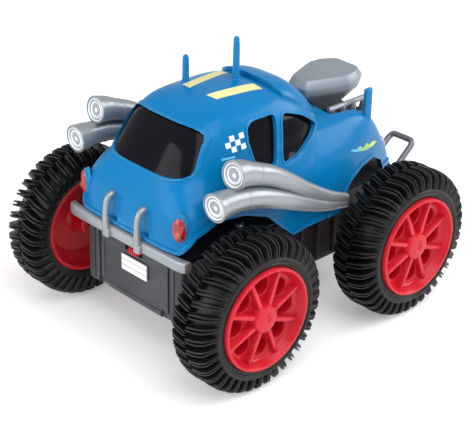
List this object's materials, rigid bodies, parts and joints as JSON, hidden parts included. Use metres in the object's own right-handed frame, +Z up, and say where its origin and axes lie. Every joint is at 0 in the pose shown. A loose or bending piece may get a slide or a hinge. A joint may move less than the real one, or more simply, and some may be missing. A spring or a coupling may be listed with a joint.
{
  "type": "rc stunt car",
  "caption": "Radio-controlled tumbling stunt car: blue coupe shell with side exhausts, air scoop and roof posts on a black gearbox chassis with big studded wheels.",
  "frame": {"origin": "centre of the bounding box at the ground, under the tyres", "axes": "-Y towards the nose, +X towards the car's left side, +Z up"},
  "size_m": [0.1552, 0.224, 0.145],
  "materials": {
    "blue_plastic": "glossy moulded plastic",
    "smoked_pane": "dark smoked gloss",
    "black_plastic": "fine satin",
    "dark_grey_plastic": "satin",
    "silver_plastic": "silver painted plastic",
    "scoop_silver": "satin silver paint",
    "gunmetal_plastic": "satin gunmetal",
    "headlight_lens": "pale gloss lens",
    "tail_light_lens": "red gloss lens",
    "red_plastic": "glossy moulded plastic",
    "tyre_rubber": "moulded black rubber",
    "steel": "bright steel",
    "brass": "bright",
    "motor_can": "plated can",
    "white_nylon": "natural nylon",
    "cell_wrap": "printed film",
    "circuit_board": "solder mask",
    "white_label": "blank label"
  },
  "bodies": {
    "chassis": {"body_shell": "blue_plastic", "windscreen_visor": "blue_plastic", "roof_post_left": "blue_plastic", "roof_post_front_left": "blue_plastic", "roof_post_front_right": "blue_plastic", "hood_post": "blue_plastic", "rear_window": "smoked_pane", "side_window_left": "smoked_pane", "side_window_right": "smoked_pane", "engine_block": "black_plastic", "chassis_tub": "black_plastic", "chassis_deck": "black_plastic", "battery_door": "black_plastic", "rear_housing": "dark_grey_plastic", "switch_body": "dark_grey_plastic", "header_left": "silver_plastic", "header_right": "silver_plastic", "exhaust_left": "silver_plastic", "exhaust_right": "silver_plastic", "rear_bumper": "silver_plastic", "air_scoop": "scoop_silver", "push_bar": "gunmetal_plastic", "headlight_left": "headlight_lens", "headlight_right": "headlight_lens", "tail_light_left": "tail_light_lens", "tail_light_right": "tail_light_lens", "front_axle": "steel", "idler_shaft": "steel", "battery_door_screw": "steel", "deck_screw_1": "steel", "deck_screw_2": "steel", "deck_screw_3": "steel", "deck_screw_4": "steel", "contact_strip_left": "brass", "contact_strip_right": "brass", "motor_left": "motor_can", "motor_right": "motor_can", "battery_1": "cell_wrap", "battery_2": "cell_wrap", "battery_3": "cell_wrap", "battery_4": "cell_wrap", "receiver_board": "circuit_board", "rear_label": "white_label"},
    "rear_wheel_left": {"rear_hub_left": "red_plastic", "rear_tyre_left": "tyre_rubber", "rear_axle_left": "steel", "axle_gear_left": "white_nylon"},
    "front_wheel_left": {"front_hub_left": "red_plastic", "front_tyre_left": "tyre_rubber"},
    "idler_left": {"idler_gear_left": "white_nylon"},
    "motor_pinion_left": {"pinion_left": "brass"},
    "rear_wheel_right": {"rear_hub_right": "red_plastic", "rear_tyre_right": "tyre_rubber", "rear_axle_right": "steel", "axle_gear_right": "white_nylon"},
    "front_wheel_right": {"front_hub_right": "red_plastic", "front_tyre_right": "tyre_rubber"},
    "idler_right": {"idler_gear_right": "white_nylon"},
    "motor_pinion_right": {"pinion_right": "brass"},
    "power_switch": {"switch_knob": "red_plastic"}
  },
  "joints": [
    {"name": "rear_wheel_left_spin", "type": "hinge", "parent": "chassis", "child": "rear_wheel_left", "pos_m": [0, 0.072, 0.04], "axis": [1, 0, 0], "continuous": true},
    {"name": "rear_wheel_right_spin", "type": "hinge", "parent": "chassis", "child": "rear_wheel_right", "pos_m": [0, 0.072, 0.04], "axis": [1, 0, 0], "continuous": true},
    {"name": "front_wheel_left_spin", "type": "hinge", "parent": "chassis", "child": "front_wheel_left", "pos_m": [0, -0.036, 0.04], "axis": [1, 0, 0], "continuous": true},
    {"name": "front_wheel_right_spin", "type": "hinge", "parent": "chassis", "child": "front_wheel_right", "pos_m": [0, -0.036, 0.04], "axis": [1, 0, 0], "continuous": true},
    {"name": "idler_left_spin", "type": "hinge", "parent": "chassis", "child": "idler_left", "pos_m": [0, 0.06, 0.04384], "axis": [1, 0, 0], "continuous": true},
    {"name": "motor_left_spin", "type": "hinge", "parent": "chassis", "child": "motor_pinion_left", "pos_m": [0, 0.0482, 0.04166], "axis": [1, 0, 0], "continuous": true},
    {"name": "idler_right_spin", "type": "hinge", "parent": "chassis", "child": "idler_right", "pos_m": [0, 0.06, 0.04384], "axis": [1, 0, 0], "continuous": true},
    {"name": "motor_right_spin", "type": "hinge", "parent": "chassis", "child": "motor_pinion_right", "pos_m": [0, 0.0482, 0.04166], "axis": [1, 0, 0], "continuous": true},
    {"name": "power_switch_slide", "type": "slide", "parent": "chassis", "child": "power_switch", "axis": [1, 0, 0], "range_m": [0, 0.003]}
  ],
  "couplings": [
    {"joint": "idler_left_spin", "follows": "rear_wheel_left_spin", "ratio": -3.2},
    {"joint": "motor_left_spin", "follows": "rear_wheel_left_spin", "ratio": 9.6},
    {"joint": "idler_right_spin", "follows": "rear_wheel_right_spin", "ratio": -3.2},
    {"joint": "motor_right_spin", "follows": "rear_wheel_right_spin", "ratio": 9.6}
  ]
}
